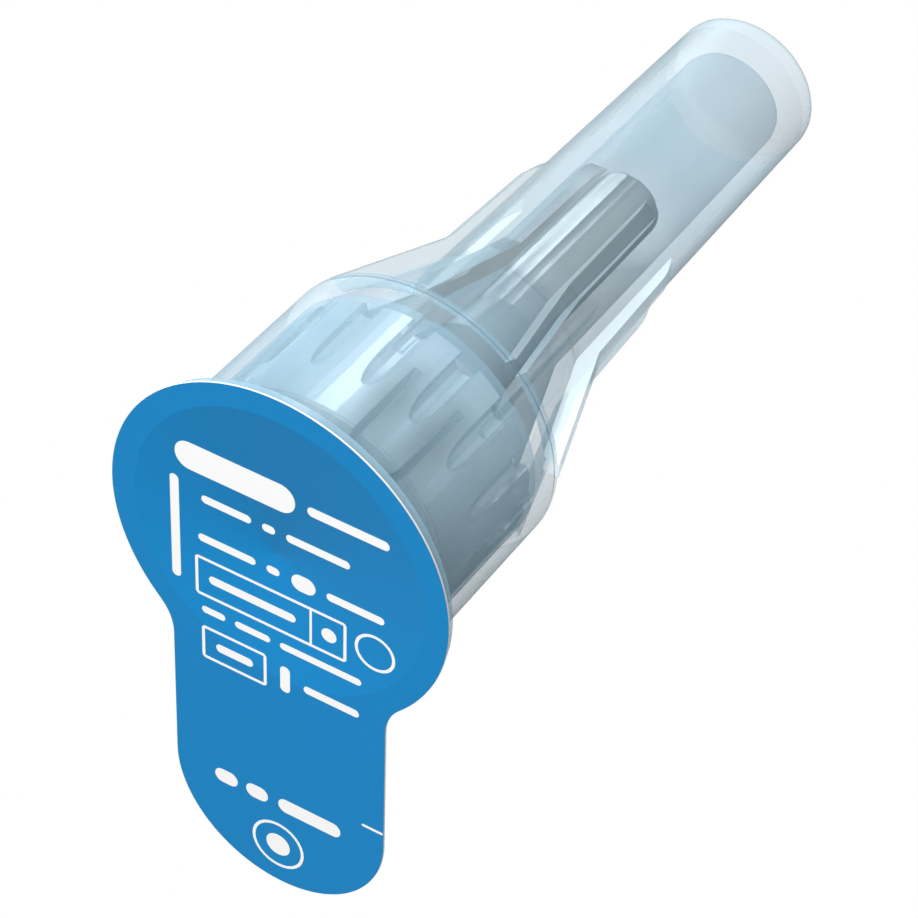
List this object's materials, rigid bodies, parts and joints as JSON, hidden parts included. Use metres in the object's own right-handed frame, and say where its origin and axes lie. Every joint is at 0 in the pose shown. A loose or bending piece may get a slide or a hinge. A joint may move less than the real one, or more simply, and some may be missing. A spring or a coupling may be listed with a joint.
{
  "type": "pen needle",
  "caption": "Pen injector needle sealed in its moulded outer cover, with a peel-off round seal and pull tab, inner shield, screw-on hub and fine hollow needle.",
  "frame": {"origin": "centre of the seal's outer face, on the needle's axis", "axes": "+Z along the axis from the seal to the closed end of the cover; the pull tab points to -Y"},
  "size_m": [0.0168, 0.0283, 0.0388],
  "materials": {
    "cover_plastic": "clear, faintly blue moulded plastic",
    "seal_laminate": "printed blue paper laminate, satin",
    "hub_plastic": "clear, faintly blue moulded plastic",
    "shield_plastic": "translucent moulded plastic",
    "needle_steel": "polished drawn tube",
    "glue": "cured clear adhesive"
  },
  "bodies": {
    "root": {"outer_cover": "cover_plastic", "peel_seal": "seal_laminate", "needle_hub": "hub_plastic", "inner_shield": "shield_plastic", "cannula": "needle_steel", "glue_bead": "glue"}
  },
  "joints": []
}
